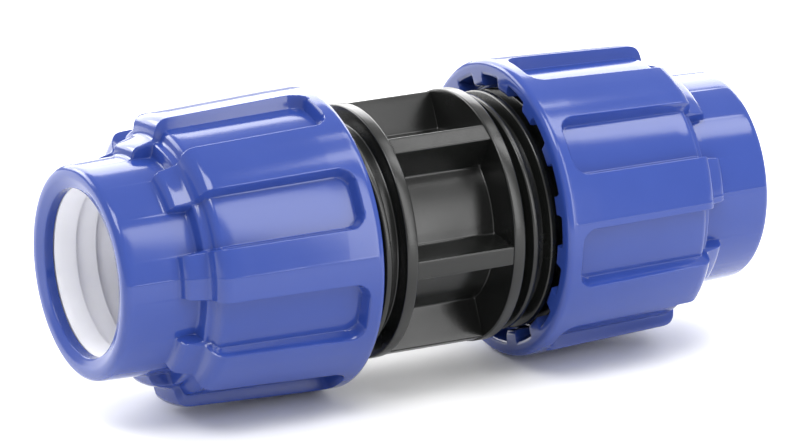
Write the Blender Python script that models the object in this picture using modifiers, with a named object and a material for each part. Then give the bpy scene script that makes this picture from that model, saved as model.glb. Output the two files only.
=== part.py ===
"""Push fit coupling for 32 mm polyethylene water pipe, 147 mm long.

A black body has a right-hand thread at each end. The blue nut on each thread draws a
split grip ring down its cone onto the pipe, and a bush pushes the O-ring into its seat.
X runs along the pipe, Z is up and the origin is the middle of the body. The pieces of an
end are modelled about Z, which the empty of that end turns to point out of it.
"""
import math

import bmesh
import bpy
from mathutils import Matrix, Vector

# Overall sizes, in metres
COUPLING_LENGTH = 0.1470
PIPE_DIAMETER = 0.0320
PIPE_WALL = 0.0030

# Clearances
FIT_GAP = 0.0003          # between pieces that touch on the real coupling
PIPE_PLAY = 0.00025       # round the pipe in the body's socket
TOOTH_PLAY = 0.0002       # round the pipe at the open grip ring's teeth
BUSH_PLAY = 0.0005        # round the pipe in the bush
LIP_PLAY = 0.0010         # round the pipe at the nut's outer lip
THREAD_ROOT_PLAY = 0.0005  # nut thread's crest to body thread's root
THREAD_CREST_PLAY = 0.0006  # body thread's crest to nut bore
BUSH_ROOM = 0.0006        # round the bush flange inside the nut
FACE_ROOM = 0.0005        # body mouth to bush flange with the nut tight

# Thread and travel
THREAD_PITCH = 0.0040
THREAD_DEPTH = 0.0022
BODY_CREST_WIDTH = 0.0012
BODY_ROOT_WIDTH = 0.0026
NUT_CREST_WIDTH = 0.0009
NUT_ROOT_WIDTH = 0.0021
NUT_THREAD_LENGTH = 0.0120
NUT_TRAVEL = 0.0060       # from the rest position to fully tight
THREAD_LEAD_ANGLE = 67.5  # degrees, from local X to the start of a ridge
BUSH_SHARE = 0.25         # bush travel for each millimetre of nut travel

# Body
WAIST_LENGTH = 0.0218
CORE_WALL = 0.0046
NOSE_WALL = 0.0018
NOSE_LENGTH = 0.0060
NOSE_CHAMFER = 0.0006
FLANGE_HEIGHT = 0.0014
FLANGE_THICKNESS = 0.0026
THREAD_RUN_OUT = 0.0003    # how far a ridge starts inside the flange
PIPE_STOP_WIDTH = 0.0200
RIB_COUNT = 6
RIB_THICKNESS = 0.0039
RIB_RECESS = 0.0003
RIB_ANGLE = 34.0

# O-ring and bush
O_RING_SECTION = 0.0040
BUSH_SLEEVE_LENGTH = 0.0059
BUSH_FLANGE_THICKNESS = 0.0026
BUSH_FLANGE_HEIGHT = 0.0020
BUSH_CHAMFER = 0.0006

# Split grip ring
RING_LENGTH = 0.0180
RING_TIP_THICKNESS = 0.0018
RING_TAPER = 0.0025
TOOTH_PITCH = 0.0044
TOOTH_DEPTH = 0.0010
TOOTH_STEP = 0.0004
SLIT_WIDTH = 0.0045

# Nut
MOUTH_LENGTH = 0.0043
NUT_WALL = 0.0028
SHOULDER_LENGTH = 0.0031
RIM_LENGTH = 0.0038
RIM_FILLET = 0.0020
RIM_PROUD = 0.00015
RIM_WALL = 0.0023
LAND_COUNT = 8
LAND_HEIGHT = 0.0027
LAND_TAPER = 0.0012
LAND_WIDTH = 0.0118
LAND_BITE = 0.0010
LAND_ROUNDING = 0.0026
PANEL_TAPER = 0.0008
PANEL_CORNER = 0.0028
FOOT_LENGTH = 0.0041
FOOT_HEIGHT = 0.0020
LEDGE_HEIGHT = 0.0028
LEDGE_LENGTH = 0.0014
POCKET_COUNT = 16
POCKET_DEPTH = 0.0031
POCKET_DRAFT = 0.0010
GUSSET_WIDTH = 0.0044
LIP_LENGTH = 0.0028
LIP_CHAMFER = 0.0006
COLLAR_LENGTH = 0.0160
COLLAR_WALL = 0.0033
COLLAR_TAPER = 0.0004
COLLAR_FILLET = 0.0012
DISH_DEPTH = 0.0007
DISH_RIM = 0.0014

# Angle of a land's middle and of the slit about each end's own axis, in degrees
LAND_ANGLE = {"left": 8.8, "right": 29.2}
SLIT_ANGLE = {"left": -80.0, "right": -100.0}
END_TILT = {"left": -90.0, "right": 90.0}

# Facets
ROUND_STEPS = 40
LAND_FACET_TURN = 2.25     # degrees, keeps the lands' facets off the nut's own
RING_STEPS = 32
THREAD_STEPS = 20
O_RING_SIDES = 8
ARC_STEPS = 3

# Radii that follow from the pipe outwards
PIPE_RADIUS = PIPE_DIAMETER / 2
PASSAGE_RADIUS = PIPE_RADIUS - PIPE_WALL
SOCKET_RADIUS = PIPE_RADIUS + PIPE_PLAY
CORE_RADIUS = PASSAGE_RADIUS + CORE_WALL
O_RING_INNER = PIPE_RADIUS + FIT_GAP
O_RING_OUTER = O_RING_INNER + O_RING_SECTION
SEAT_RADIUS = O_RING_OUTER + FIT_GAP
THREAD_ROOT = SEAT_RADIUS + NOSE_WALL
THREAD_CREST = THREAD_ROOT + THREAD_DEPTH
FLANGE_RADIUS = THREAD_CREST + FLANGE_HEIGHT
BUSH_BORE = PIPE_RADIUS + BUSH_PLAY
BUSH_RADIUS = SEAT_RADIUS - FIT_GAP
BUSH_FLANGE_RADIUS = BUSH_RADIUS + BUSH_FLANGE_HEIGHT
TOOTH_RADIUS = PIPE_RADIUS + TOOTH_PLAY
LIP_RADIUS = PIPE_RADIUS + LIP_PLAY
RING_TIP_RADIUS = TOOTH_RADIUS + RING_TIP_THICKNESS
RING_BASE_RADIUS = RING_TIP_RADIUS + RING_TAPER
NUT_CREST = THREAD_ROOT + THREAD_ROOT_PLAY
NUT_BORE = THREAD_CREST + THREAD_CREST_PLAY
NECK_BORE = BUSH_FLANGE_RADIUS + BUSH_ROOM
PANEL_RADIUS = NUT_BORE + NUT_WALL
LAND_RADIUS = PANEL_RADIUS + LAND_HEIGHT
COLLAR_TIP_RADIUS = RING_TIP_RADIUS + FIT_GAP + COLLAR_WALL
COLLAR_ROOT_RADIUS = COLLAR_TIP_RADIUS + COLLAR_TAPER

# Places along an end's axis, from the nut's outer face in towards the middle
BUSH_TRAVEL = NUT_TRAVEL * BUSH_SHARE
NUT_END = COUPLING_LENGTH / 2
LIP_FACE = NUT_END - LIP_LENGTH
RING_TIP = LIP_FACE - FIT_GAP
RING_BASE = RING_TIP - RING_LENGTH
BUSH_END = RING_BASE - FIT_GAP - NUT_TRAVEL + BUSH_TRAVEL
BUSH_STEP = BUSH_END - BUSH_FLANGE_THICKNESS
BUSH_NOSE = BUSH_STEP - BUSH_SLEEVE_LENGTH
BODY_END = BUSH_STEP - BUSH_TRAVEL - FACE_ROOM
O_RING_MIDDLE = BUSH_NOSE - BUSH_TRAVEL - FIT_GAP - O_RING_SECTION / 2
SEAT_FACE = O_RING_MIDDLE - O_RING_SECTION / 2 - FIT_GAP
THREAD_END = BODY_END - NOSE_LENGTH
NUT_THREAD_START = THREAD_END - NUT_THREAD_LENGTH
NUT_MOUTH = NUT_THREAD_START - MOUTH_LENGTH
COLLAR_START = NUT_END - COLLAR_LENGTH
SHOULDER_START = COLLAR_START - SHOULDER_LENGTH
NECK_START = BODY_END + NUT_TRAVEL + FACE_ROOM
CONE_START = BUSH_END + NUT_TRAVEL - BUSH_TRAVEL + FIT_GAP + BUSH_CHAMFER / 3
FLANGE_FACE = WAIST_LENGTH / 2
FLANGE_BACK = FLANGE_FACE + FLANGE_THICKNESS
THREAD_START = FLANGE_BACK - THREAD_RUN_OUT
PIPE_STOP = PIPE_STOP_WIDTH / 2

MERGE = 0.00001           # closes a turned piece's seam
RISE_PER_STEP = THREAD_PITCH / THREAD_STEPS


def clear_scene():
    """Remove every object that the file opened with."""
    for old in list(bpy.data.objects):
        bpy.data.objects.remove(old, do_unlink=True)


def new_collection(name):
    """A collection linked to the scene."""
    collection = bpy.data.collections.new(name)
    bpy.context.scene.collection.children.link(collection)
    return collection


def plastic(name, colour, roughness):
    """A Principled material of one colour, with no metal in it."""
    material = bpy.data.materials.new(name)
    material.use_nodes = True
    shader = material.node_tree.nodes["Principled BSDF"]
    shader.inputs["Base Color"].default_value = (*colour, 1.0)
    shader.inputs["Roughness"].default_value = roughness
    shader.inputs["Metallic"].default_value = 0.0
    return material


def add_object(name, mesh, collection, parent=None):
    """An object at the origin, or at its parent's, made from a mesh."""
    made = bpy.data.objects.new(name, mesh)
    collection.objects.link(made)
    made.parent = parent
    return made


def add_cutter(name, mesh, parent=None):
    """An object that only cuts or joins others, so the build leaves it out."""
    cutter = add_object(name, mesh, cutters, parent)
    cutter.hide_render = True
    cutter.display_type = "WIRE"
    return cutter


def combine(target, tool, operation):
    """Cut, join or intersect the target with the tool."""
    modifier = target.modifiers.new(tool.name, "BOOLEAN")
    modifier.object = tool
    modifier.operation = operation
    modifier.solver = "EXACT"


def arc(centre_radius, centre_along, size, first, last):
    """Points (radius, along) of a fillet, with angles in degrees from +radius."""
    angles = [first + (last - first) * step / ARC_STEPS for step in range(ARC_STEPS + 1)]
    turns = [math.radians(angle) for angle in angles]
    return [(centre_radius + size * math.cos(turn), centre_along + size * math.sin(turn))
            for turn in turns]


def turn_profile(target, steps):
    """Spin the target's profile once round Z."""
    screw = target.modifiers.new("turn", "SCREW")
    screw.axis = "Z"
    screw.angle = math.tau
    screw.steps = steps
    screw.render_steps = steps
    screw.use_merge_vertices = True
    screw.merge_threshold = MERGE


def profile_mesh(name, outer, inner):
    """A closed profile at +X: the outer side from top to bottom, then the inner side up."""
    points = sorted_down(outer) + list(reversed(sorted_down(inner)))
    count = len(points)
    mesh = bpy.data.meshes.new(name)
    edges = [(index, (index + 1) % count) for index in range(count)]
    mesh.from_pydata([(radius, 0.0, along) for radius, along in points], edges, [])
    return mesh


def sorted_down(points):
    """The points from the highest to the lowest, as they are listed where level."""
    return points if points[0][1] >= points[-1][1] else list(reversed(points))


def helix_mesh(name, sections, start, turns):
    """A closed thread ridge. Sections are (radius, half width) at its two faces."""
    (near_radius, near_half), (far_radius, far_half) = sections
    corners = [(near_radius, -near_half), (far_radius, -far_half),
               (far_radius, far_half), (near_radius, near_half)]
    ridge = bmesh.new()
    verts = [ridge.verts.new((radius, 0.0, start + offset)) for radius, offset in corners]
    face = ridge.faces.new(verts)
    steps = round(turns * THREAD_STEPS)
    bmesh.ops.spin(ridge, geom=[face, *face.verts, *face.edges], cent=(0, 0, 0),
                   axis=(0, 0, 1), dvec=(0, 0, RISE_PER_STEP), steps=steps,
                   angle=math.tau * steps / THREAD_STEPS)
    lead = Matrix.Rotation(math.radians(THREAD_LEAD_ANGLE), 3, "Z")
    bmesh.ops.rotate(ridge, verts=ridge.verts, matrix=lead)
    bmesh.ops.recalc_face_normals(ridge, faces=ridge.faces)
    mesh = bpy.data.meshes.new(name)
    ridge.to_mesh(mesh)
    ridge.free()
    return mesh


def box_mesh(name, low, high):
    """A box between two corners."""
    low = Vector(low)
    high = Vector(high)
    size = high - low
    place = Matrix.Translation((low + high) / 2) @ Matrix.Diagonal((*size, 1.0))
    box = bmesh.new()
    bmesh.ops.create_cube(box, size=1.0, matrix=place)
    mesh = bpy.data.meshes.new(name)
    box.to_mesh(mesh)
    box.free()
    return mesh


def ring_of(name, mesh, count, first_angle):
    """Copies of a mesh at even angles round Z, in one mesh."""
    ring = bmesh.new()
    for index in range(count):
        angle = math.radians(first_angle + 360.0 * index / count)
        before = len(ring.verts)
        ring.from_mesh(mesh)
        ring.verts.ensure_lookup_table()
        bmesh.ops.rotate(ring, verts=ring.verts[before:],
                         matrix=Matrix.Rotation(angle, 3, "Z"))
    joined = bpy.data.meshes.new(name)
    ring.to_mesh(joined)
    ring.free()
    return joined


def outline_prism(name, outline, low, high):
    """A closed outline (across, along) extruded out along +X from low to high."""
    curve = bpy.data.curves.new(name, "CURVE")
    curve.dimensions = "2D"
    curve.fill_mode = "BOTH"
    curve.extrude = (high - low) / 2
    spline = curve.splines.new("POLY")
    spline.points.add(len(outline) - 1)
    for point, (across, along) in zip(spline.points, outline):
        point.co = (across, along, 0.0, 1.0)
    spline.use_cyclic_u = True
    drawn = add_object(name, curve, cutters)
    evaluated = drawn.evaluated_get(bpy.context.evaluated_depsgraph_get())
    flat = bpy.data.meshes.new_from_object(evaluated)
    bpy.data.objects.remove(drawn)
    prism = bmesh.new()
    prism.from_mesh(flat)
    bmesh.ops.remove_doubles(prism, verts=prism.verts, dist=MERGE)
    # across becomes +Y, along becomes +Z and the extrusion +X
    stand = Matrix(((0, 0, 1), (1, 0, 0), (0, 1, 0))).to_4x4()
    lift = Matrix.Translation(((low + high) / 2, 0, 0))
    bmesh.ops.transform(prism, matrix=lift @ stand, verts=prism.verts)
    bmesh.ops.recalc_face_normals(prism, faces=prism.faces)
    mesh = bpy.data.meshes.new(name)
    prism.to_mesh(mesh)
    prism.free()
    return mesh


def thread_ridge(name, parent, sections, start, turns):
    """A thread ridge to be joined to a body or a nut."""
    return add_cutter(name, helix_mesh(name, sections, start, turns), parent)


def make_body(ends):
    """The body: core, ribs between two flanges, threaded noses and the two sockets."""
    outer_half = [(CORE_RADIUS, FLANGE_FACE), (FLANGE_RADIUS, FLANGE_FACE),
                  (FLANGE_RADIUS, FLANGE_BACK), (THREAD_ROOT, FLANGE_BACK),
                  (THREAD_ROOT, BODY_END - NOSE_CHAMFER),
                  (THREAD_ROOT - NOSE_CHAMFER, BODY_END)]
    inner_half = [(PASSAGE_RADIUS, PIPE_STOP), (SOCKET_RADIUS, PIPE_STOP),
                  (SOCKET_RADIUS, SEAT_FACE), (SEAT_RADIUS, SEAT_FACE),
                  (SEAT_RADIUS, BODY_END - NOSE_CHAMFER),
                  (SEAT_RADIUS + NOSE_CHAMFER, BODY_END)]
    outer = both_ways(outer_half)
    inner = both_ways(inner_half)
    body = add_object("coupling_body", profile_mesh("coupling_body", outer, inner), parts)
    body.rotation_euler = ends["right"].rotation_euler
    turn_profile(body, ROUND_STEPS)

    rib_inner = (PASSAGE_RADIUS + CORE_RADIUS) / 2
    rib_reach = (FLANGE_FACE + FLANGE_BACK) / 2
    rib = box_mesh("rib", (rib_inner, -RIB_THICKNESS / 2, -rib_reach),
                   (FLANGE_RADIUS - RIB_RECESS, RIB_THICKNESS / 2, rib_reach))
    ribs = add_cutter("body_ribs", ring_of("body_ribs", rib, RIB_COUNT, RIB_ANGLE))
    ribs.rotation_euler = body.rotation_euler
    combine(body, ribs, "UNION")

    bite = THREAD_ROOT - NOSE_WALL / 3
    sections = [(bite, BODY_ROOT_WIDTH / 2), (THREAD_CREST, BODY_CREST_WIDTH / 2)]
    first = THREAD_START + BODY_ROOT_WIDTH / 2
    turns = (THREAD_END - first - BODY_ROOT_WIDTH / 2) / THREAD_PITCH
    for side, end in ends.items():
        name = f"{side}_body_thread"
        combine(body, thread_ridge(name, end, sections, first, turns), "UNION")
    return body


def both_ways(half):
    """A half profile and its mirror image, from the top end to the bottom end."""
    top = list(reversed(half))
    return top + [(radius, -along) for radius, along in half]


def make_o_ring(side, end):
    """The O-ring in its seat."""
    middle_radius = (O_RING_INNER + O_RING_OUTER) / 2
    name = f"{side}_o_ring"
    bpy.ops.mesh.primitive_torus_add(major_segments=RING_STEPS, minor_segments=O_RING_SIDES,
                                     major_radius=middle_radius,
                                     minor_radius=O_RING_SECTION / 2)
    ring = bpy.context.active_object
    ring.name = name
    for home in list(ring.users_collection):
        home.objects.unlink(ring)
    parts.objects.link(ring)
    ring.parent = end
    ring.location = (0.0, 0.0, O_RING_MIDDLE)
    return ring


def make_bush(side, end):
    """The bush: a sleeve that pushes the O-ring, with a flange the grip ring pushes."""
    outer = [(BUSH_RADIUS - BUSH_CHAMFER, BUSH_NOSE),
             (BUSH_RADIUS, BUSH_NOSE + BUSH_CHAMFER), (BUSH_RADIUS, BUSH_STEP),
             (BUSH_FLANGE_RADIUS, BUSH_STEP), (BUSH_FLANGE_RADIUS, BUSH_END - BUSH_CHAMFER),
             (BUSH_FLANGE_RADIUS - BUSH_CHAMFER, BUSH_END)]
    inner = [(BUSH_BORE, BUSH_NOSE), (BUSH_BORE, BUSH_END - BUSH_CHAMFER),
             (BUSH_BORE + BUSH_CHAMFER, BUSH_END)]
    name = f"{side}_bush"
    bush = add_object(name, profile_mesh(name, outer, inner), parts, end)
    turn_profile(bush, RING_STEPS)
    return bush


def make_split_ring(side, end):
    """The split grip ring: a taper outside, saw teeth in the bore and one slit."""
    outer = [(RING_BASE_RADIUS, RING_BASE), (RING_TIP_RADIUS, RING_TIP)]
    root = TOOTH_RADIUS + TOOTH_DEPTH
    inner = [(root, RING_TIP)]
    crest_along = RING_TIP - TOOTH_PITCH
    while crest_along - TOOTH_STEP > RING_BASE:
        inner.append((TOOTH_RADIUS, crest_along))
        inner.append((root, crest_along - TOOTH_STEP))
        crest_along -= TOOTH_PITCH
    last_root = inner[-1][1]
    worn = TOOTH_DEPTH * (last_root - RING_BASE) / (TOOTH_PITCH - TOOTH_STEP)
    inner.append((root - worn, RING_BASE))
    name = f"{side}_split_ring"
    ring = add_object(name, profile_mesh(name, outer, inner), parts, end)
    turn_profile(ring, RING_STEPS)
    slit = box_mesh("slit", (0.0, -SLIT_WIDTH / 2, RING_BASE - SLIT_WIDTH),
                    (RING_BASE_RADIUS * 2, SLIT_WIDTH / 2, RING_TIP + SLIT_WIDTH))
    name = f"{side}_slit"
    combine(ring, add_cutter(name, ring_of(name, slit, 1, SLIT_ANGLE[side]), end),
            "DIFFERENCE")
    return ring


def panel_profile():
    """The nut's outside where a panel is: from the rim to the collar's root."""
    floor_end = PANEL_RADIUS - PANEL_TAPER
    ledge = COLLAR_ROOT_RADIUS + LEDGE_HEIGHT
    ledge_start = COLLAR_START - LEDGE_LENGTH
    return [(PANEL_RADIUS, NUT_MOUTH + RIM_LENGTH), (floor_end, SHOULDER_START),
            (ledge, ledge_start), (ledge, COLLAR_START - LEDGE_LENGTH / 2),
            (COLLAR_ROOT_RADIUS, COLLAR_START)]


def nut_base(side, end):
    """The nut without its lands: rim, panels, collar, lip, cone and thread bore."""
    rim = LAND_RADIUS
    rim_end = NUT_MOUTH + RIM_LENGTH
    collar = COLLAR_TIP_RADIUS
    cone_base = RING_BASE_RADIUS + FIT_GAP + RING_TAPER * (RING_BASE - CONE_START) / RING_LENGTH
    dish_outer = collar - COLLAR_FILLET - DISH_RIM
    dish_floor = NUT_END - DISH_DEPTH
    outer = [(rim - RIM_FILLET, NUT_MOUTH),
             *arc(rim - RIM_FILLET, NUT_MOUTH + RIM_FILLET, RIM_FILLET, -60, 0),
             (rim, rim_end), *panel_profile(),
             *arc(collar - COLLAR_FILLET, NUT_END - COLLAR_FILLET, COLLAR_FILLET, 0, 90)]
    inner = [(NUT_BORE, NUT_MOUTH), (NUT_BORE, NECK_START), (NECK_BORE, NECK_START),
             (NECK_BORE, CONE_START), (cone_base, CONE_START),
             (RING_TIP_RADIUS + FIT_GAP, LIP_FACE), (LIP_RADIUS, LIP_FACE),
             (LIP_RADIUS, dish_floor - LIP_CHAMFER), (LIP_RADIUS + LIP_CHAMFER, dish_floor),
             (dish_outer, NUT_END)]
    name = f"{side}_nut"
    nut = add_object(name, profile_mesh(name, outer, inner), parts, end)
    turn_profile(nut, ROUND_STEPS)
    return nut


def land_outline():
    """A land from outside, (across, along): quarter-round flares at the rim, then straight."""
    half = LAND_WIDTH / 2
    start = NUT_MOUTH + RIM_LENGTH
    low = start - RIM_LENGTH / 2
    high = COLLAR_START + FOOT_LENGTH * 2
    flare = []
    for step in range(ARC_STEPS + 1):
        turn = math.radians(90.0 * step / ARC_STEPS)
        flare.append((half + PANEL_CORNER * (1 - math.sin(turn)),
                      start + PANEL_CORNER * (1 - math.cos(turn))))
    right = [(flare[0][0], low), *flare, (half, high)]
    return right + [(-across, along) for across, along in reversed(right)]


def nut_lands(side, end):
    """The eight lands: prisms trimmed by a turned ring that has their long section."""
    start = NUT_MOUTH + RIM_LENGTH
    top = LAND_RADIUS - RIM_PROUD
    shoulder = top - LAND_TAPER
    foot = COLLAR_ROOT_RADIUS + FOOT_HEIGHT
    foot_end = COLLAR_START + FOOT_LENGTH
    outer = [(top, start - RIM_LENGTH / 2), (top, start),
             *reversed(arc(shoulder - LAND_ROUNDING, COLLAR_START - LEDGE_LENGTH - LAND_ROUNDING,
                           LAND_ROUNDING, 70, 0)),
             (foot + FOOT_HEIGHT / 2, COLLAR_START), (foot, foot_end - FOOT_HEIGHT)]
    inner = [(radius - LAND_BITE, along) for radius, along in panel_profile()]
    inner[0] = (inner[0][0], start - RIM_LENGTH / 2)
    inner.append((COLLAR_ROOT_RADIUS - LAND_BITE, foot_end))
    name = f"{side}_nut_lands"
    lands = add_cutter(name, profile_mesh(name, outer, inner), end)
    turn_profile(lands, ROUND_STEPS)
    lands.rotation_euler.z = math.radians(LAND_FACET_TURN)
    prism = outline_prism("land", land_outline(), RING_TIP_RADIUS, LAND_RADIUS * 1.2)
    name = f"{side}_land_prisms"
    prisms = add_cutter(name, ring_of(name, prism, LAND_COUNT, LAND_ANGLE[side]), end)
    combine(lands, prisms, "INTERSECT")
    return lands


def nut_pockets(side, end):
    """The pockets in the nut's mouth: a ring with a gap at each gusset."""
    deep = NUT_MOUTH + POCKET_DEPTH
    wall = LAND_RADIUS - RIM_WALL
    outer = [(wall + POCKET_DRAFT, NUT_MOUTH - POCKET_DEPTH), (wall - POCKET_DRAFT, deep)]
    inner = [(THREAD_ROOT, NUT_MOUTH - POCKET_DEPTH), (THREAD_ROOT, deep)]
    name = f"{side}_nut_pockets"
    pockets = add_cutter(name, profile_mesh(name, outer, inner), end)
    turn_profile(pockets, ROUND_STEPS)
    gusset = box_mesh("gusset", (SEAT_RADIUS, -GUSSET_WIDTH / 2, NUT_MOUTH - POCKET_DEPTH * 2),
                      (LAND_RADIUS, GUSSET_WIDTH / 2, deep + POCKET_DEPTH))
    name = f"{side}_nut_gussets"
    gussets = add_cutter(name, ring_of(name, gusset, POCKET_COUNT, LAND_ANGLE[side]), end)
    combine(pockets, gussets, "DIFFERENCE")
    return pockets


def make_nut(side, end):
    """A nut: its base, the lands on it, the pockets in its mouth and its thread."""
    nut = nut_base(side, end)
    combine(nut, nut_lands(side, end), "UNION")
    combine(nut, nut_pockets(side, end), "DIFFERENCE")
    sections = [(NUT_CREST, NUT_CREST_WIDTH / 2), (NUT_BORE + NUT_WALL / 3, NUT_ROOT_WIDTH / 2)]
    first = THREAD_START + BODY_ROOT_WIDTH / 2 + THREAD_PITCH / 2
    while first < NUT_THREAD_START - THREAD_PITCH / 4:
        first += THREAD_PITCH
    name = f"{side}_nut_thread"
    turns = NUT_THREAD_LENGTH / THREAD_PITCH
    ridge = thread_ridge(name, end, sections, first, turns)
    combine(nut, ridge, "UNION")
    return nut


def finish(piece, material):
    """Keep the piece's evaluated mesh, shade it and give it its material."""
    evaluated = piece.evaluated_get(bpy.context.evaluated_depsgraph_get())
    mesh = bpy.data.meshes.new_from_object(evaluated)
    piece.modifiers.clear()
    piece.data = mesh
    mesh.materials.clear()
    mesh.materials.append(material)
    mesh.shade_smooth()
    mesh.set_sharp_from_angle(angle=math.radians(30.0))


clear_scene()
parts = new_collection("push_fit_coupling")
cutters = new_collection("cutters")
black_plastic = plastic("black_polypropylene", (0.012, 0.013, 0.012), 0.38)
blue_plastic = plastic("blue_polypropylene", (0.055, 0.080, 0.420), 0.30)
white_plastic = plastic("white_acetal", (0.80, 0.80, 0.82), 0.35)
rubber = plastic("black_rubber", (0.010, 0.010, 0.010), 0.60)

end_empties = {}
for end_name, tilt in END_TILT.items():
    end_empty = add_object(f"{end_name}_end", None, parts)
    end_empty.rotation_euler = (0.0, math.radians(tilt), 0.0)
    end_empties[end_name] = end_empty

made_pieces = [(make_body(end_empties), black_plastic)]
for end_name, end_empty in end_empties.items():
    made_pieces.append((make_nut(end_name, end_empty), blue_plastic))
    made_pieces.append((make_split_ring(end_name, end_empty), white_plastic))
    made_pieces.append((make_bush(end_name, end_empty), white_plastic))
    made_pieces.append((make_o_ring(end_name, end_empty), rubber))

bpy.context.view_layer.update()
for made_piece, its_material in made_pieces:
    finish(made_piece, its_material)
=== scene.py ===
"""Looks of a push fit coupling: moulded nuts, ribbed body, grip rings, bushes and seals.

Every surface is a numpy grid: rows follow a rounded profile along the pipe and columns
go round it. The profile's points are (along, radius) in millimetres, where along is the
distance from the coupling's middle out towards one end.
"""
import math

import bpy
import numpy as np
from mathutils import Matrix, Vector


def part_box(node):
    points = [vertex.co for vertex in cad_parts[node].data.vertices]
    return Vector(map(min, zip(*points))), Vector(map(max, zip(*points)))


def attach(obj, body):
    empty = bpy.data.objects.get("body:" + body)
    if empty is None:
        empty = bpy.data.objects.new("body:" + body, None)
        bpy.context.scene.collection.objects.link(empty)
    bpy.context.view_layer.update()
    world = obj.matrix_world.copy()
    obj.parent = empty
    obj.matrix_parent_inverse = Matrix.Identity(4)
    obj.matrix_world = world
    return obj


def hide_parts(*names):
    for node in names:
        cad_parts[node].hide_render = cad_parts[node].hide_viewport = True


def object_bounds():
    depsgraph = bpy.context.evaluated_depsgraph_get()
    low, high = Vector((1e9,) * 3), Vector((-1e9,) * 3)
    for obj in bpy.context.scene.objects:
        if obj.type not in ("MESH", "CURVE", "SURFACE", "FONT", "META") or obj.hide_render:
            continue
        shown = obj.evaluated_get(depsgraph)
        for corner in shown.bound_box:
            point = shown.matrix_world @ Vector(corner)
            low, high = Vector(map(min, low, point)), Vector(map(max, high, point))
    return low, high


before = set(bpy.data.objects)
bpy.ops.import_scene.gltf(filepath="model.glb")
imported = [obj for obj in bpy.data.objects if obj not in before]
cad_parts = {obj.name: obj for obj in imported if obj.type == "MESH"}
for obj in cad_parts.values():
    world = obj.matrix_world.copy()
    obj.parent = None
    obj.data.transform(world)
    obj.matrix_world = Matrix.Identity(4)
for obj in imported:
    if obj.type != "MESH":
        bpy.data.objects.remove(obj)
CAD_BOX = [list(corner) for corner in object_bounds()]

bl_info = {
    "name": "Push fit coupling",
    "version": (1, 0, 0),
    "blender": (4, 5, 0),
    "location": "View3D > Sidebar > Coupling",
    "description": "Builds the fine surfaces of a push fit pipe coupling",
    "category": "Add Mesh",
}

MM = 0.001
SIDES = {"left": -1.0, "right": 1.0}
SHARP_ANGLE = 38.0       # degrees between faces from which an edge is drawn sharp


def cad_size(node, corner, axis):
    """One coordinate of a CAD node's box, in millimetres."""
    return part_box(node)[corner][axis] / MM


# Sizes read from the frame, in millimetres
NUT_MOUTH = cad_size("right_nut", 0, 0)
NUT_END = cad_size("right_nut", 1, 0)
RIM_RADIUS = cad_size("right_nut", 1, 2)
BODY_END = cad_size("coupling_body", 1, 0)
FLANGE_RADIUS = cad_size("coupling_body", 1, 2)
RING_BASE = cad_size("right_split_ring", 0, 0)
RING_TIP = cad_size("right_split_ring", 1, 0)
RING_BASE_RADIUS = cad_size("right_split_ring", 1, 2)
BUSH_NOSE = cad_size("right_bush", 0, 0)
BUSH_END = cad_size("right_bush", 1, 0)
BUSH_FLANGE_RADIUS = cad_size("right_bush", 1, 2)
O_RING_START = cad_size("right_o_ring", 0, 0)
O_RING_END = cad_size("right_o_ring", 1, 0)
O_RING_OUTER = cad_size("right_o_ring", 1, 2)

# Thread of both ends, in millimetres and degrees about each end's own axis
THREAD_PITCH = 4.0
THREAD_LEAD_ANGLE = 67.5
BODY_THREAD_DEPTH = 2.2
BODY_THREAD_ROOT = 22.4
BODY_THREAD_START = 14.5
BODY_THREAD_END = BODY_END - 7.3
NUT_THREAD_DEPTH = 2.3
NUT_THREAD_ROOT = 25.2
NUT_THREAD_START = 24.5
NUT_THREAD_LENGTH = 12.0
RIDGE_COLUMNS = 90       # columns in one turn of a ridge
RIDGE_FADE = 0.06        # turns over which a ridge rises and falls
RIDGE_LEAST = 0.02       # share of the fade that a ridge's two ends start from
RIDGE_BURY = 0.6         # how deep a ridge's foot stands in the wall, in millimetres


def linear(hex_colour):
    """An sRGB hex colour as linear red, green, blue and alpha."""
    parts = [int(hex_colour[index:index + 2], 16) / 255.0 for index in (1, 3, 5)]
    return tuple(c / 12.92 if c <= 0.04045 else ((c + 0.055) / 1.055) ** 2.4 for c in parts) + (1.0,)


def smooth(value):
    """0 below 0, 1 above 1 and the cubic 3t^2 - 2t^3 between."""
    t = np.clip(value, 0.0, 1.0)
    return t * t * (3.0 - 2.0 * t)


def rounded(corners, straights, closed=True):
    """Rows of points along a polyline whose corners are parabolic fillets.

    A corner is (along, radius, reach, steps): the fillet starts and ends at that reach
    from the corner, and is the parabola through its tangents. straights gives how many
    points stand inside the straight that follows each corner.
    """
    spots = np.array([corner[:2] for corner in corners], dtype=float)
    count = len(spots)
    rows = []
    tails = []
    for index, (_, _, reach, steps) in enumerate(corners):
        spot = spots[index]
        before = spots[(index - 1) % count] - spot
        after = spots[(index + 1) % count] - spot
        ends = not closed and index in (0, count - 1)
        if ends:
            rows.append(spot[None])
            tails.append((spot, spot))
            continue
        start = spot + before / np.linalg.norm(before) * reach
        stop = spot + after / np.linalg.norm(after) * reach
        t = np.linspace(0.0, 1.0, steps)[:, None]
        rows.append((1 - t) ** 2 * start + 2 * t * (1 - t) * spot + t ** 2 * stop)
        tails.append((start, stop))
    joined = []
    last = count if closed else count - 1
    for index in range(count):
        joined.append(rows[index])
        if index < last and straights[index]:
            t = np.arange(1, straights[index] + 1)[:, None] / (straights[index] + 1)
            joined.append(tails[index][1] * (1 - t) + tails[(index + 1) % count][0] * t)
    return np.concatenate(joined)


def place(sign, along, radius, angle):
    """World points, in metres, of one end: angle is about the axis that points out of it."""
    along, radius, angle = np.broadcast_arrays(along, radius, np.radians(angle))
    return np.stack([sign * along, radius * np.sin(angle), -sign * radius * np.cos(angle)], -1) * MM


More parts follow.
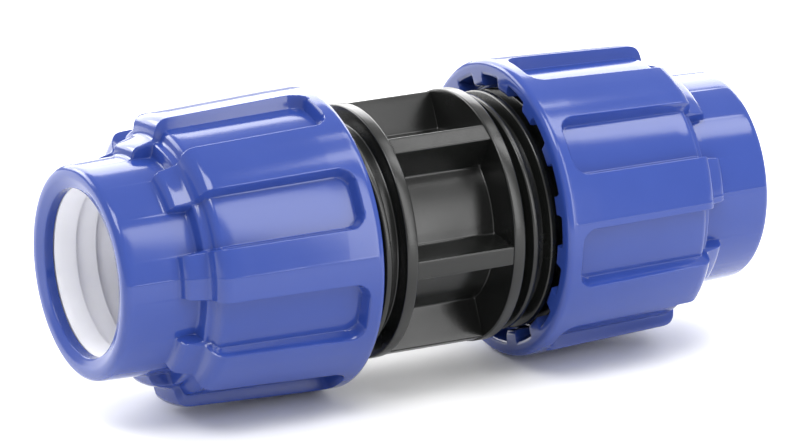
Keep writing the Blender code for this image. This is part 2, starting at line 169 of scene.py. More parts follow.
def grid_quads(rows, columns, wrap_rows, wrap_columns):
    """Corner indices of the quads between neighbours of a grid."""
    row = np.arange(rows if wrap_rows else rows - 1)
    column = np.arange(columns if wrap_columns else columns - 1)
    row, column = (index.ravel() for index in np.meshgrid(row, column, indexing="ij"))
    next_row = (row + 1) % rows
    next_column = (column + 1) % columns
    return np.stack([row * columns + column, row * columns + next_column,
                     next_row * columns + next_column, next_row * columns + column], -1)


def outward(points, quads):
    """The quads turned so that the closed surface's signed volume is positive."""
    a, b, c, d = (points[quads[:, index]] for index in range(4))
    volume = (a * np.cross(b, c)).sum() + (a * np.cross(c, d)).sum()
    return quads if volume > 0 else quads[:, ::-1]


def build_mesh(name, shells):
    """One mesh of several closed grids: each is (points, wrap_rows, wrap_columns).

    A grid whose columns don't wrap is closed by a flat cap at each end.
    """
    verts, faces, first = [], [], 0
    for points, wrap_rows, wrap_columns in shells:
        rows, columns = points.shape[:2]
        flat = points.reshape(-1, 3)
        quads = outward(flat, grid_quads(rows, columns, wrap_rows, wrap_columns))
        faces += (quads + first).tolist()
        if not wrap_columns:
            faces += end_caps(quads, rows, columns, first)
        verts.append(flat)
        first += len(flat)
    mesh = bpy.data.meshes.new(name)
    mesh.from_pydata(np.concatenate(verts).tolist(), [], faces)
    mesh.validate()
    mesh.shade_smooth()
    mesh.set_sharp_from_angle(angle=math.radians(SHARP_ANGLE))
    return mesh


def end_caps(quads, rows, columns, first):
    """The two end faces of an open grid, turned against the quads beside them.

    first is the number of the grid's first point in the whole mesh.
    """
    caps = []
    for column in (0, columns - 1):
        ring = np.arange(rows) * columns + column
        shared = (quads == ring[0]).any(1) & (quads == ring[1]).any(1)
        beside = quads[shared][0].tolist()
        forward = beside[(beside.index(ring[0]) + 1) % 4] == ring[1]
        caps.append(((ring[::-1] if forward else ring) + first).tolist())
    return caps


def add_piece(name, shells, material, body, node):
    """A finished piece at the origin that rides on a body and replaces its CAD node."""
    piece = bpy.data.objects.new(name, build_mesh(name, shells))
    bpy.context.scene.collection.objects.link(piece)
    piece.data.materials.append(material)
    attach(piece, body)
    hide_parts(node)


def helix(sign, start, turns, base, height, root_half, crest_half, inward=False):
    """A closed thread ridge: a rounded trapezoid carried along a helix.

    along = start + pitch * angle / 360, and the height rises smoothly over the first and
    last RIDGE_FADE of a turn, so the ridge fades out at both ends.
    """
    columns = int(turns * RIDGE_COLUMNS) + 1
    turn = np.linspace(0.0, turns, columns)
    ramp = smooth(np.minimum(turn, turns - turn) / RIDGE_FADE + RIDGE_LEAST)
    side = -1.0 if inward else 1.0
    corners = [(-root_half - 0.2, -RIDGE_BURY, 0.05, 2), (-root_half, 0.0, 0.18, 3),
               (-crest_half, height, 0.35, 5), (crest_half, height, 0.35, 5),
               (root_half, 0.0, 0.18, 3), (root_half + 0.2, -RIDGE_BURY, 0.05, 2)]
    section = rounded(corners, [0, 1, 1, 1, 0, 0])
    lift = section[:, 1:2]
    along = start + THREAD_PITCH * turn[None] + section[:, :1]
    radius = base + side * np.where(lift > 0, lift * ramp[None], lift)
    return place(sign, along, radius, THREAD_LEAD_ANGLE + 360.0 * turn[None]), True, False


def ring_columns(count):
    """Even angles round a turned piece."""
    return np.arange(count) * 360.0 / count


def turned(sign, corners, straights, count):
    """A closed turned shape from a closed profile."""
    rows = rounded(corners, straights)
    return place(sign, rows[:, :1], rows[:, 1:], ring_columns(count)[None]), True, True


def add_node(tree, kind, settings=None, **links):
    """Add a node: settings are properties or input values, links are input sockets."""
    node = tree.nodes.new(kind)
    for key, value in (settings or {}).items():
        if key in node.inputs:
            node.inputs[key].default_value = value
        else:
            setattr(node, key, value)
    for key, socket in links.items():
        tree.links.new(node.inputs[key.replace("_", " ")], socket)
    return node


# The moulded surfaces: sizes in millimetres, and the usual IOR of such plastics
GRAIN_SIZE = 0.5
SCUFF_SIZE = 0.9
PLASTIC_IOR = 1.49


def moulded_plastic(name, dark, light, roughness, sheen_mm, grain_depth, scatter=0.0,
                    scratch_depth=0.0):
    """A moulded plastic or rubber: faint flow mottling, even gloss and fine grain.

    dark and light are the hex colours that the slow mottling runs between, sheen_mm is
    the size of the flow marks, grain_depth the height of the mould's texture and
    scratch_depth the depth of handling scuffs, all in mm. scatter is the share of light
    that gets a little way in.
    """
    material = bpy.data.materials.new(name)
    material.use_nodes = True
    tree = material.node_tree
    shader = tree.nodes["Principled BSDF"]
    where = add_node(tree, "ShaderNodeTexCoord").outputs["Object"]
    flow = add_node(tree, "ShaderNodeTexNoise",
                    {"Scale": 1.0 / (sheen_mm * MM), "Detail": 3.0, "Roughness": 0.5},
                    Vector=where)
    # sockets 0, 6 and 7 of a colour mix are its factor and two colours, and 2 is its result
    tint = add_node(tree, "ShaderNodeMix", {"data_type": "RGBA"})
    tree.links.new(tint.inputs[0], flow.outputs["Fac"])
    tint.inputs[6].default_value = linear(dark)
    tint.inputs[7].default_value = linear(light)
    tree.links.new(shader.inputs["Base Color"], tint.outputs[2])
    gloss = add_node(tree, "ShaderNodeMapRange",
                     {"From Min": 0.3, "From Max": 0.7, "To Min": roughness * 0.86,
                      "To Max": roughness * 1.16}, Value=flow.outputs["Fac"])
    tree.links.new(shader.inputs["Roughness"], gloss.outputs["Result"])
    # the mould's grain is 0.05 mm on the real part and is drawn at 0.5 mm so that it shows
    grain = add_node(tree, "ShaderNodeTexNoise",
                     {"Scale": 1.0 / (GRAIN_SIZE * MM), "Detail": 4.0, "Roughness": 0.6},
                     Vector=where)
    bump = add_node(tree, "ShaderNodeBump", {"Strength": 1.0, "Distance": grain_depth * MM},
                    Height=grain.outputs["Fac"])
    if scratch_depth:
        # scuffs run one way, so the noise is stretched and laid askew
        stretch = add_node(tree, "ShaderNodeMapping",
                           {"Rotation": (0.0, 0.5, 0.7), "Scale": (0.06, 1.0, 1.0)},
                           Vector=where)
        scuffs = add_node(tree, "ShaderNodeTexNoise",
                          {"Scale": 1.0 / (SCUFF_SIZE * MM), "Detail": 2.0},
                          Vector=stretch.outputs["Vector"])
        bump = add_node(tree, "ShaderNodeBump", {"Strength": 1.0,
                                                 "Distance": scratch_depth * MM},
                        Height=scuffs.outputs["Fac"], Normal=bump.outputs["Normal"])
    tree.links.new(shader.inputs["Normal"], bump.outputs["Normal"])
    shader.inputs["IOR"].default_value = PLASTIC_IOR
    if scatter:
        shader.inputs["Subsurface Weight"].default_value = scatter
        shader.inputs["Subsurface Radius"].default_value = (0.6, 0.6, 0.8)
        shader.inputs["Subsurface Scale"].default_value = 0.0015
    return material


class NutSizes(bpy.types.PropertyGroup):
    """Sizes of the nuts that a maker would change, in millimetres."""

    land_half_angle: bpy.props.FloatProperty(
        name="Land half angle", description="Half the angle that a land covers, in degrees",
        default=11.1, min=5.0, max=17.0)
    panel_corner: bpy.props.FloatProperty(
        name="Panel corner", description="Radius of a panel's two closed corners, in mm",
        default=3.0, min=0.5, max=5.0)
    wall_round: bpy.props.FloatProperty(
        name="Wall rounding", description="Half the width of a land's sloping side, in mm",
        default=0.38, min=0.1, max=1.5)
    gusset_half_width: bpy.props.FloatProperty(
        name="Gusset half width", description="Half the width of a gusset in the mouth, in mm",
        default=2.1, min=0.5, max=3.0)
    colour_dark: bpy.props.StringProperty(
        name="Darker blue", description="sRGB hex colour of the flow marks",
        default="#293F88")
    colour_light: bpy.props.StringProperty(
        name="Lighter blue", description="sRGB hex colour between the flow marks",
        default="#2D4490")
    roughness: bpy.props.FloatProperty(
        name="Roughness", description="Roughness of the moulded surface", default=0.13,
        min=0.0, max=1.0, subtype="FACTOR")


class BodySizes(bpy.types.PropertyGroup):
    """Sizes of the body that a maker would change, in millimetres."""

    waist_half: bpy.props.FloatProperty(
        name="Half waist", description="From the middle to a flange's inner face, in mm",
        default=10.9, min=5.0, max=20.0)
    flange_thickness: bpy.props.FloatProperty(
        name="Flange thickness", description="Thickness of a flange, in mm", default=2.6,
        min=1.0, max=5.0)
    core_radius: bpy.props.FloatProperty(
        name="Core radius", description="Radius of the body between the ribs, in mm",
        default=17.6, min=15.0, max=22.0)
    rib_half_width: bpy.props.FloatProperty(
        name="Rib half width", description="Half the thickness of a rib, in mm",
        default=1.95, min=0.5, max=4.0)
    colour_dark: bpy.props.StringProperty(
        name="Darker black", description="sRGB hex colour of the flow marks",
        default="#101110")
    colour_light: bpy.props.StringProperty(
        name="Lighter black", description="sRGB hex colour between the flow marks",
        default="#151615")
    roughness: bpy.props.FloatProperty(
        name="Roughness", description="Roughness of the moulded surface", default=0.24,
        min=0.0, max=1.0, subtype="FACTOR")


class RingSizes(bpy.types.PropertyGroup):
    """Sizes of the white grip rings and bushes, in millimetres."""

    tooth_radius: bpy.props.FloatProperty(
        name="Tooth radius", description="Radius at the crest of a tooth, in mm",
        default=16.2, min=15.0, max=18.0)
    tooth_depth: bpy.props.FloatProperty(
        name="Tooth depth", description="Depth between two teeth, in mm", default=1.5,
        min=0.2, max=1.8)
    slit_width: bpy.props.FloatProperty(
        name="Slit width", description="Width of the ring's slit, in mm", default=4.5,
        min=0.5, max=8.0)
    colour_dark: bpy.props.StringProperty(
        name="Darker white", description="sRGB hex colour of the flow marks",
        default="#E6E6EC")
    colour_light: bpy.props.StringProperty(
        name="Lighter white", description="sRGB hex colour between the flow marks",
        default="#EEEEF3")
    roughness: bpy.props.FloatProperty(
        name="Roughness", description="Roughness of the moulded surface", default=0.35,
        min=0.0, max=1.0, subtype="FACTOR")


class StageSizes(bpy.types.PropertyGroup):
    """Light, floor and camera."""

    lens: bpy.props.FloatProperty(
        name="Lens", description="Focal length of the camera", default=273.0, min=20.0,
        max=500.0, unit="CAMERA")
    distance: bpy.props.FloatProperty(
        name="Distance", description="From the coupling's middle to the camera",
        default=1.23, min=0.3, max=5.0, unit="LENGTH")
    azimuth: bpy.props.FloatProperty(
        name="Azimuth", description="Angle of the camera round the coupling",
        default=math.radians(-28.5), subtype="ANGLE")
    elevation: bpy.props.FloatProperty(
        name="Elevation", description="Angle of the camera above the floor",
        default=math.radians(16.8), subtype="ANGLE")
    floor_colour: bpy.props.StringProperty(
        name="Floor", description="sRGB hex colour of the floor", default="#F4F4F4")


# Shape of the nuts, in millimetres and degrees about each end's own axis
LAND_COUNT = 8
LAND_SECTOR = 360.0 / LAND_COUNT
HALF_SECTOR = LAND_SECTOR / 2
GUSSET_COUNT = 16
GUSSET_SECTOR = 360.0 / GUSSET_COUNT
GUSSET_EDGE = 0.5        # width over which a gusset's side falls into the pocket
GUSSET_SIDE = 0.8        # degrees of close columns on each side of a gusset's edge
LAND_SIDE = 1.3          # degrees of close columns on each side of a land's edge
LAND_ANGLE = {"left": 8.8, "right": 29.2}
LAND_MIDDLE_RADIUS = 29.4
GUSSET_MIDDLE_RADIUS = 26.8
PANEL_START = 24.4
PARTING_ANGLE = {"left": -82.0, "right": -98.0}
PARTING_OFFSETS = (-0.7, -0.4, 0.0, 0.4, 0.7)
PARTING_HEIGHT = 0.09
PARTING_HALF_ANGLE = 0.5
PARTING_START = NUT_MOUTH + 2.0
PARTING_END = NUT_END - 1.0
PARTING_LEAST_RADIUS = 21.0
NUT_SEAT_RADIUS = 22.9
NUT_LIP_BORE = 17.0
NUT_NECK_START = BODY_END + 6.5


def sector_angles(sizes):
    """Columns over half a sector, close together at a land's side and at gusset sides.

    marks are pairs of a stretch's first angle and how many columns it has.
    """
    gusset = math.degrees(sizes.gusset_half_width / GUSSET_MIDDLE_RADIUS)
    land = sizes.land_half_angle
    marks = [(0.0, 1), (gusset - GUSSET_SIDE, 5), (gusset + GUSSET_SIDE, 4),
             (land - LAND_SIDE, 11), (land + LAND_SIDE, 9),
             (HALF_SECTOR - gusset - GUSSET_SIDE, 5), (HALF_SECTOR - gusset + GUSSET_SIDE, 2)]
    stops = [mark for mark, _ in marks[1:]] + [HALF_SECTOR]
    pieces = [np.linspace(start, stop, count, endpoint=False)
              for (start, count), stop in zip(marks, stops)]
    return np.concatenate(pieces)


def nut_angles(side, sizes):
    """All the columns of a nut: mirrored half sectors, and a few at the parting line."""
    half = sector_angles(sizes)
    sector = np.concatenate([half, LAND_SECTOR - half[1:], [HALF_SECTOR]])
    starts = LAND_SECTOR * np.arange(LAND_COUNT)
    angles = (sector[None] + starts[:, None]).ravel() + LAND_ANGLE[side]
    offsets = np.array(PARTING_OFFSETS)
    seams = [PARTING_ANGLE[side] + turn + offsets for turn in (0.0, 180.0)]
    return np.unique(np.round(np.concatenate([angles, *seams]) % 360.0, 4))


def nut_profiles():
    """The nut's two closed profiles with matching rows, through a panel and through a land.

    The first also runs through a pocket of the mouth and the second through a gusset.
    A corner is (along, radius, reach, steps). Returns both, and for each row whether it is
    in the mouth and whether it is on the outside.
    """
    rim, end, front = RIM_RADIUS, NUT_END, NUT_MOUTH
    seat = RING_BASE + 0.2
    shared_end = [(end, 21.6, 1.6, 8), (end, 19.3, 0.4, 4), (end - 0.8, NUT_LIP_BORE, 0.25, 3),
                  (end - 2.8, NUT_LIP_BORE, 0.12, 2), (end - 2.8, 18.3, 0.1, 2),
                  (seat, RING_BASE_RADIUS + 0.3, 0.2, 2), (seat, NUT_SEAT_RADIUS, 0.3, 2),
                  (NUT_NECK_START, NUT_SEAT_RADIUS, 0.3, 2),
                  (NUT_NECK_START, NUT_THREAD_ROOT, 0.3, 2)]
    panel = [(front, rim, 1.5, 8), (22.7, 28.0, 0.2, 2), (28.6, 27.9, 0.1, 2),
             (54.9, 27.2, 1.0, 6), (55.8, 25.0, 0.5, 4), (57.1, 24.7, 0.4, 4),
             (57.6, 22.0, 0.5, 4), *shared_end, (24.0, NUT_THREAD_ROOT, 0.3, 3),
             (23.9, 26.5, 0.3, 3), (front + 0.25, 27.6, 0.2, 4), (front, 28.2, 0.2, 4)]
    land = [(front, rim, 1.5, 8), (22.7, rim, 0.2, 2), (28.6, rim - 0.15, 0.1, 2),
            (56.0, 29.45, 2.3, 6), (57.0, 25.4, 0.6, 4), (61.2, 24.2, 1.0, 4),
            (61.9, 21.95, 0.5, 4), *shared_end, (front + 0.5, NUT_THREAD_ROOT, 0.3, 3),
            (front + 0.1, 26.0, 0.2, 3), (front + 0.02, 27.2, 0.1, 4), (front, 28.2, 0.2, 4)]
    straights = [2, 26, 9, 2, 3, 2, 8, 2, 3, 2, 0, 4, 0, 1, 0, 3, 3, 3, 3, 2]
    low = rounded(panel, straights)
    high = rounded(land, straights)
    steps = [corner[3] for corner in panel]
    mouth_corners = 4
    first_inside = len(panel) - len(shared_end) - mouth_corners + 1
    outer_rows = sum(steps[:first_inside]) + sum(straights[:first_inside - 1])
    mouth_rows = sum(steps[-mouth_corners:]) + sum(straights[-mouth_corners:])
    row = np.arange(len(low))
    return low, high, row >= len(low) - mouth_rows, row < outer_rows


def land_mask(sizes, along, offset):
    """0 in a panel and 1 on a land or the rim, smooth across the wall between them.

    The panel is a rectangle with two rounded corners at the rim, and the mask follows
    the signed distance from its outline.
    """
    half = math.radians(HALF_SECTOR - sizes.land_half_angle) * LAND_MIDDLE_RADIUS
    corner = sizes.panel_corner
    across = np.abs(offset) - half + corner
    back = PANEL_START + corner - along
    outside = np.hypot(np.maximum(across, 0.0), np.maximum(back, 0.0))
    inside = np.minimum(np.maximum(across, back), 0.0)
    distance = outside + inside - corner
    return smooth(distance / (2.0 * sizes.wall_round) + 0.5)


def nut_shell(side, sizes):
    """A nut's closed skin: panel profile plus mask times (land profile minus panel).

    The parting line is a ridge of PARTING_HEIGHT that falls evenly to both sides.
    """
    low, high, mouth, outer = nut_profiles()
    angles = nut_angles(side, sizes)
    from_first = angles - LAND_ANGLE[side]
    from_land = (from_first + HALF_SECTOR) % LAND_SECTOR - HALF_SECTOR
    from_panel = np.radians(HALF_SECTOR - np.abs(from_land)) * LAND_MIDDLE_RADIUS
    mask = land_mask(sizes, high[:, :1], from_panel[None])
    from_gusset = (from_first + GUSSET_SECTOR / 2) % GUSSET_SECTOR - GUSSET_SECTOR / 2
    across = np.abs(np.radians(from_gusset)) * GUSSET_MIDDLE_RADIUS
    gusset = 1.0 - smooth((across - sizes.gusset_half_width) / GUSSET_EDGE + 0.5)
    mask = np.where(mouth[:, None], gusset[None], mask)
    along = low[:, :1] + mask * (high[:, :1] - low[:, :1])
    radius = low[:, 1:] + mask * (high[:, 1:] - low[:, 1:])
    seam = np.abs((angles - PARTING_ANGLE[side] + 90.0) % 180.0 - 90.0)
    ridged = (along > PARTING_START) & (along < PARTING_END) & outer[:, None]
    ridged &= radius > PARTING_LEAST_RADIUS
    ridge = np.clip(1.0 - seam / PARTING_HALF_ANGLE, 0.0, 1.0)
    radius = radius + PARTING_HEIGHT * ridge[None] * ridged
    return place(SIDES[side], along, radius, angles[None]), True, True


class COUPLING_OT_nuts(bpy.types.Operator):
    """Make the two blue nuts"""

    bl_idname = "coupling.nuts"
    bl_label = "Nuts"

    def execute(self, context):
        sizes = context.scene.coupling_nut
        # polypropylene from a polished mould: a soft gloss, and light gets a little way in
        blue = moulded_plastic("blue_moulded_polypropylene", sizes.colour_dark,
                               sizes.colour_light, sizes.roughness, sheen_mm=14.0,
                               grain_depth=0.004, scatter=0.05)
        for side, sign in SIDES.items():
            ridge = helix(sign, NUT_THREAD_START, NUT_THREAD_LENGTH / THREAD_PITCH,
                          NUT_THREAD_ROOT, NUT_THREAD_DEPTH, root_half=1.05,
                          crest_half=0.45, inward=True)
            add_piece(f"{side}_nut_skin", [nut_shell(side, sizes), ridge], blue,
                      f"{side}_nut", f"{side}_nut")
        return {"FINISHED"}


# Shape of the body, in millimetres and degrees
RIB_COUNT = 6
RIB_SECTOR = 360.0 / RIB_COUNT
RIB_ANGLE = 34.0
RIB_TOP = 25.7
RIB_FOOT_ANGLE = 12.5    # where a rib's side has run out into the core
WAIST_FILLET = 0.4       # between the waist and a flange
SEAL_SEAT_RADIUS = 20.6
SEAL_SEAT_START = 33.0
SOCKET_BORE = 16.25
SOCKET_STOP = 10.0
PASSAGE_RADIUS = 13.0


def waist_section(sizes):
    """One sixth of the waist's outline as (radius, angle): rib, its side and the core.

    Points near the rib are (offset, height) from its middle plane, which keeps its two
    sides parallel, and the core's are on its circle.
    """
    half = sizes.rib_half_width
    top, core = RIB_TOP, sizes.core_radius
    corners = [(0.0, top, 0.1, 2), (half, top, 0.35, 5), (half + 0.12, core - 0.1, 0.5, 6),
               (half + 4.0, core - 0.6, 0.1, 2)]
    flank = rounded(corners, [2, 5, 0, 0], closed=False)
    radius = np.hypot(flank[:, 0], flank[:, 1])
    radius = np.maximum(radius, core)
    angle = np.degrees(np.arctan2(flank[:, 0], flank[:, 1]))
    keep = angle < RIB_FOOT_ANGLE
    radius, angle = radius[keep], angle[keep]
    spare = np.linspace(angle[-1], RIB_SECTOR / 2, 7)[1:]
    radius = np.concatenate([radius, np.full(len(spare), core)])
    angle = np.concatenate([angle, spare])
    mirrored = slice(-2, 0, -1)
    return (np.concatenate([radius, radius[mirrored]]),
            np.concatenate([angle, RIB_SECTOR - angle[mirrored]]))


def body_shell(sizes):
    """The body's closed skin, from the middle of its waist out to one end and back inside.

    share runs from 0 on the waist's section to 1 on a circle, and the flange's inner
    face is the blend between the two.
    """
    section_radius, section_angle = waist_section(sizes)
    face = sizes.waist_half
    back = face + sizes.flange_thickness
    flange = FLANGE_RADIUS
    edge = flange - 1.0
    waist_rows = [(0.0, 0.0), (face * 0.33, 0.0), (face * 0.66, 0.0),
                  (face - WAIST_FILLET, 0.0)]
    t = np.linspace(0.0, 1.0, 6)[1:]
    fillet = np.stack([face - WAIST_FILLET * (1 - t) ** 2, 0.05 * t ** 2], -1)
    waist = np.concatenate([np.array(waist_rows), fillet, [[face, 0.5]]])
    corners = [(face, edge, 0.1, 2), (face, flange, 0.4, 5), (back, flange, 0.4, 5),
               (back, BODY_THREAD_ROOT, 0.4, 4), (BODY_END, BODY_THREAD_ROOT, 0.5, 4),
               (BODY_END, SEAL_SEAT_RADIUS, 0.5, 4), (SEAL_SEAT_START, SEAL_SEAT_RADIUS, 0.3, 3),
               (SEAL_SEAT_START, SOCKET_BORE, 0.4, 3), (SOCKET_STOP, SOCKET_BORE, 0.2, 3),
               (SOCKET_STOP, PASSAGE_RADIUS, 0.5, 3), (0.0, PASSAGE_RADIUS, 0.1, 2)]
    outer = rounded(corners, [0, 1, 2, 14, 1, 5, 2, 8, 1, 4, 0], closed=False)
    starts = RIB_SECTOR * np.arange(RIB_COUNT)
    angles = (section_angle[None] + starts[:, None]).ravel() + RIB_ANGLE
    radii = np.tile(section_radius, RIB_COUNT)
    share = waist[:, 1:]
    near_along = np.broadcast_to(waist[:, :1], (len(waist), len(angles)))
    near_radius = radii[None] + share * (edge - radii[None])
    far_along = np.broadcast_to(outer[:, :1], (len(outer), len(angles)))
    far_radius = np.broadcast_to(outer[:, 1:], (len(outer), len(angles)))
    half_along = np.concatenate([near_along, far_along])
    half_radius = np.concatenate([near_radius, far_radius])
    along = np.concatenate([half_along, -half_along[-2:0:-1]])
    radius = np.concatenate([half_radius, half_radius[-2:0:-1]])
    return place(1.0, along, radius, angles[None]), True, True


class COUPLING_OT_body(bpy.types.Operator):
    """Make the black body with its two threads"""

    bl_idname = "coupling.body"
    bl_label = "Body"

    def execute(self, context):
        sizes = context.scene.coupling_body
        # carbon-black polypropylene: a satin skin with grey reflections and handling scuffs
        black = moulded_plastic("black_moulded_polypropylene", sizes.colour_dark,
                                sizes.colour_light, sizes.roughness, sheen_mm=9.0,
                                grain_depth=0.010, scratch_depth=0.012)
        turns = (BODY_THREAD_END - BODY_THREAD_START) / THREAD_PITCH
        shells = [body_shell(sizes)]
        for sign in SIDES.values():
            shells.append(helix(sign, BODY_THREAD_START, turns, BODY_THREAD_ROOT,
                                BODY_THREAD_DEPTH, root_half=1.3, crest_half=0.6))
        add_piece("body_skin", shells, black, "coupling_body", "coupling_body")
        return {"FINISHED"}


# Shape of the grip rings and bushes, in millimetres and degrees
SLIT_ANGLE = {"left": -80.0, "right": -100.0}
TOOTH_PITCH = 4.4
TOOTH_BACK = 0.4         # length of a tooth's steep side
RING_COLUMNS = 145
TURNED_COLUMNS = 96
BUSH_FLANGE = 2.6
BUSH_NOSE_RADIUS = 20.3
BUSH_BORE = 16.5
BUSH_COLOURS = ("#CFCFD6", "#D8D8DE")
RUBBER_COLOURS = ("#101010", "#191919")


def split_ring_shell(side, sizes):
    """A grip ring: its closed profile carried round from one side of the slit to the other."""
    crest = sizes.tooth_radius
    root = crest + sizes.tooth_depth
    tip_bore = crest + 1.0
    tip_outer = crest + 1.8
    along = RING_TIP
    corners = [(RING_BASE, RING_BASE_RADIUS, 0.3, 3), (along, tip_outer, 0.3, 3),
               (along, tip_bore, 0.15, 3)]
    straights = [6, 0, 2]
    tooth = TOOTH_PITCH + TOOTH_BACK
    while along - tooth > RING_BASE:
        corners += [(along - TOOTH_PITCH, crest, 0.12, 4), (along - tooth, root, 0.12, 3)]
        straights += [0, 2]
        along -= TOOTH_PITCH
    corners.append((RING_BASE, crest + 0.3, 0.05, 3))
    straights.append(1)
    rows = rounded(corners, straights)
    half_slit = math.degrees(sizes.slit_width / 2 / (crest + 1.5))
    angles = SLIT_ANGLE[side] + np.linspace(half_slit, 360.0 - half_slit, RING_COLUMNS)
    return place(SIDES[side], rows[:, :1], rows[:, 1:], angles[None]), True, False


class COUPLING_OT_rings(bpy.types.Operator):
    """Make the white split grip rings"""

    bl_idname = "coupling.rings"
    bl_label = "Split rings"

    def execute(self, context):
        sizes = context.scene.coupling_ring
        # acetal copolymer: milky white and waxy, so light scatters in it
        white = moulded_plastic("white_moulded_acetal", sizes.colour_dark, sizes.colour_light,
                                sizes.roughness, sheen_mm=8.0, grain_depth=0.003,
                                scatter=0.10)
        for side in SIDES:
            add_piece(f"{side}_split_ring_skin", [split_ring_shell(side, sizes)], white,
                      f"{side}_split_ring", f"{side}_split_ring")
        return {"FINISHED"}


class COUPLING_OT_seals(bpy.types.Operator):
    """Make the bushes and the O-rings"""

    bl_idname = "coupling.seals"
    bl_label = "Bushes and O-rings"

    def execute(self, context):
        sizes = context.scene.coupling_ring
        # acetal copolymer again, a shade greyer than the grip ring
        bush_white = moulded_plastic("grey_white_moulded_acetal", *BUSH_COLOURS,
                                     sizes.roughness, sheen_mm=8.0, grain_depth=0.004,
                                     scatter=0.15)
        # nitrile rubber: dull black with a trace of mould bloom
        rubber = moulded_plastic("black_moulded_nitrile", *RUBBER_COLOURS, roughness=0.62,
                                 sheen_mm=5.0, grain_depth=0.012)
        step = BUSH_END - BUSH_FLANGE
        bush = [(BUSH_NOSE, BUSH_NOSE_RADIUS, 0.6, 4), (step, BUSH_NOSE_RADIUS, 0.2, 3),
                (step, BUSH_FLANGE_RADIUS, 0.3, 3), (BUSH_END, BUSH_FLANGE_RADIUS, 0.5, 4),
                (BUSH_END, BUSH_BORE, 0.6, 4), (BUSH_NOSE, BUSH_BORE, 0.3, 3)]
        section = (O_RING_END - O_RING_START) / 2
        middle = (O_RING_START + O_RING_END) / 2
        turn = np.linspace(0.0, math.tau, 24, endpoint=False)[:, None]
        seal_along = middle + section * np.sin(turn)
        seal_radius = O_RING_OUTER - section + section * np.cos(turn)
        for side, sign in SIDES.items():
            shape = turned(sign, bush, [3, 0, 1, 2, 4, 1], TURNED_COLUMNS)
            add_piece(f"{side}_bush_skin", [shape], bush_white, f"{side}_bush",
                      f"{side}_bush")
            seal = place(sign, seal_along, seal_radius, ring_columns(TURNED_COLUMNS)[None])
            add_piece(f"{side}_o_ring_skin", [(seal, True, True)], rubber, "coupling_body",
                      f"{side}_o_ring")
        return {"FINISHED"}


# Name, place in metres, width and height in metres, and power in watts of each softbox
SOFTBOXES = (
    ("back_softbox", (0.25, 1.00, 0.50), (2.2, 0.75), 26.0),
    ("top_softbox", (-0.20, -0.32, 0.85), (0.5, 0.4), 5.0),
    ("back_left_softbox", (-0.35, 0.50, 0.35), (0.35, 0.35), 2.2),
    ("front_softbox", (0.178, -0.395, 0.21), (0.10, 0.52), 0.80),
    ("right_softbox", (0.305, -0.14, 0.46), (0.14, 0.26), 0.70),
    ("middle_softbox", (0.25, 0.03, 0.49), (0.05, 0.12), 0.11),
)
WALL_STRENGTH = 0.78
FLOOR_GAP = 0.0002       # metres between the floor and the coupling's lowest point
FLOOR_RADIUS = 3.0
FLOOR_RINGS = 11
FLOOR_COLUMNS = 96
SENSOR_WIDTH = 36.0
CAMERA_SHIFT = (-0.00625, -0.00125)


def add_light(name, place_at, size, energy):
    """A rectangular softbox that looks at the coupling and isn't seen itself."""
    lamp = bpy.data.lights.new(name, "AREA")
    lamp.shape = "RECTANGLE"
    lamp.size, lamp.size_y = size
    lamp.energy = energy
    softbox = bpy.data.objects.new(name, lamp)
    bpy.context.scene.collection.objects.link(softbox)
    softbox.location = place_at
    softbox.visible_camera = False
    softbox.rotation_euler = (-Vector(place_at)).to_track_quat("-Z", "Y").to_euler()


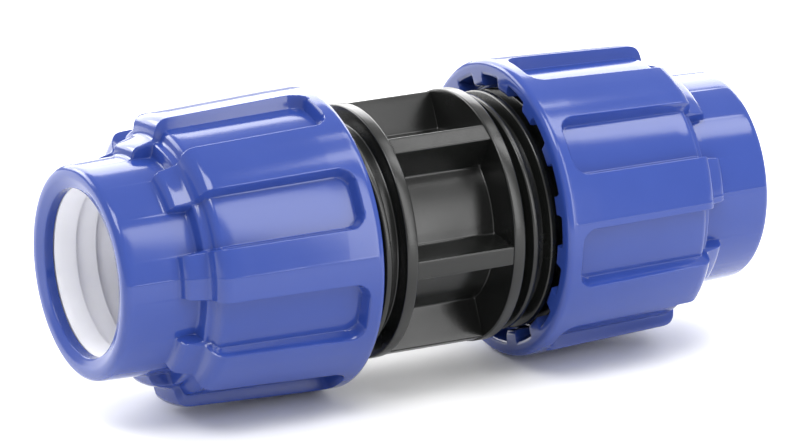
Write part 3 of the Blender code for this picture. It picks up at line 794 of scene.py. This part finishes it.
class COUPLING_OT_stage(bpy.types.Operator):
    """Make the floor, the soft studio light and the camera"""

    bl_idname = "coupling.stage"
    bl_label = "Stage"

    def execute(self, context):
        sizes = context.scene.coupling_stage
        self.make_floor(sizes)
        world = bpy.data.worlds.new("studio_walls")
        world.use_nodes = True
        backdrop = world.node_tree.nodes["Background"]
        backdrop.inputs["Color"].default_value = (1.0, 1.0, 1.0, 1.0)
        backdrop.inputs["Strength"].default_value = WALL_STRENGTH
        context.scene.world = world
        context.scene.view_settings.view_transform = "Standard"
        for softbox in SOFTBOXES:
            add_light(*softbox)
        self.make_camera(context, sizes)
        return {"FINISHED"}

    def make_floor(self, sizes):
        """A disc of pale card, just under the coupling's lowest point."""
        radius = np.linspace(0.0, FLOOR_RADIUS, FLOOR_RINGS + 1)[1:, None]
        angle = np.linspace(0.0, math.tau, FLOOR_COLUMNS, endpoint=False)[None]
        low = CAD_BOX[0][2] - FLOOR_GAP
        flat = np.zeros_like(radius + angle)
        points = np.stack([radius * np.cos(angle), radius * np.sin(angle), flat + low], -1)
        quads = grid_quads(*points.shape[:2], False, True).tolist()
        quads.append(list(range(points.shape[1]))[::-1])
        mesh = bpy.data.meshes.new("floor")
        mesh.from_pydata(points.reshape(-1, 3).tolist(), [], quads)
        mesh.flip_normals()
        floor = bpy.data.objects.new("floor", mesh)
        bpy.context.scene.collection.objects.link(floor)
        card = bpy.data.materials.new("pale_card")
        card.use_nodes = True
        shader = card.node_tree.nodes["Principled BSDF"]
        shader.inputs["Base Color"].default_value = linear(sizes.floor_colour)
        shader.inputs["Roughness"].default_value = 0.8
        mesh.materials.append(card)

    def make_camera(self, context, sizes):
        """A long lens that looks at the coupling's middle from the two angles."""
        lens = bpy.data.cameras.new("camera")
        lens.sensor_width = SENSOR_WIDTH
        lens.lens = sizes.lens
        lens.shift_x, lens.shift_y = CAMERA_SHIFT
        lens.clip_start = 0.05
        lens.clip_end = 20.0
        camera = bpy.data.objects.new("camera", lens)
        context.scene.collection.objects.link(camera)
        flat = math.cos(sizes.elevation)
        away = Vector((math.sin(sizes.azimuth) * flat, -math.cos(sizes.azimuth) * flat,
                       math.sin(sizes.elevation)))
        camera.location = away * sizes.distance
        camera.rotation_euler = (-away).to_track_quat("-Z", "Y").to_euler()
        context.scene.camera = camera


class COUPLING_PT_panel(bpy.types.Panel):
    """Lists the coupling's pieces in the sidebar"""

    bl_idname = "COUPLING_PT_panel"
    bl_label = "Push fit coupling"
    bl_space_type = "VIEW_3D"
    bl_region_type = "UI"
    bl_category = "Coupling"

    def draw(self, context):
        for operator in OPERATORS:
            self.layout.operator(operator.bl_idname)


GROUPS = {"coupling_nut": NutSizes, "coupling_body": BodySizes, "coupling_ring": RingSizes,
          "coupling_stage": StageSizes}
OPERATORS = (COUPLING_OT_stage, COUPLING_OT_body, COUPLING_OT_nuts, COUPLING_OT_rings,
             COUPLING_OT_seals)


def register():
    """Register the classes and hang the sizes on the scene."""
    for cls in (*GROUPS.values(), *OPERATORS, COUPLING_PT_panel):
        bpy.utils.register_class(cls)
    for name, group in GROUPS.items():
        setattr(bpy.types.Scene, name, bpy.props.PointerProperty(type=group))


def unregister():
    """Take the sizes off the scene and unregister the classes."""
    for name in GROUPS:
        delattr(bpy.types.Scene, name)
    for cls in (COUPLING_PT_panel, *reversed(OPERATORS), *reversed(GROUPS.values())):
        bpy.utils.unregister_class(cls)


def main():
    """Build the stage and every piece."""
    register()
    bpy.ops.coupling.stage()
    bpy.ops.coupling.body()
    bpy.ops.coupling.nuts()
    bpy.ops.coupling.rings()
    bpy.ops.coupling.seals()


if __name__ == "__main__":
    main()
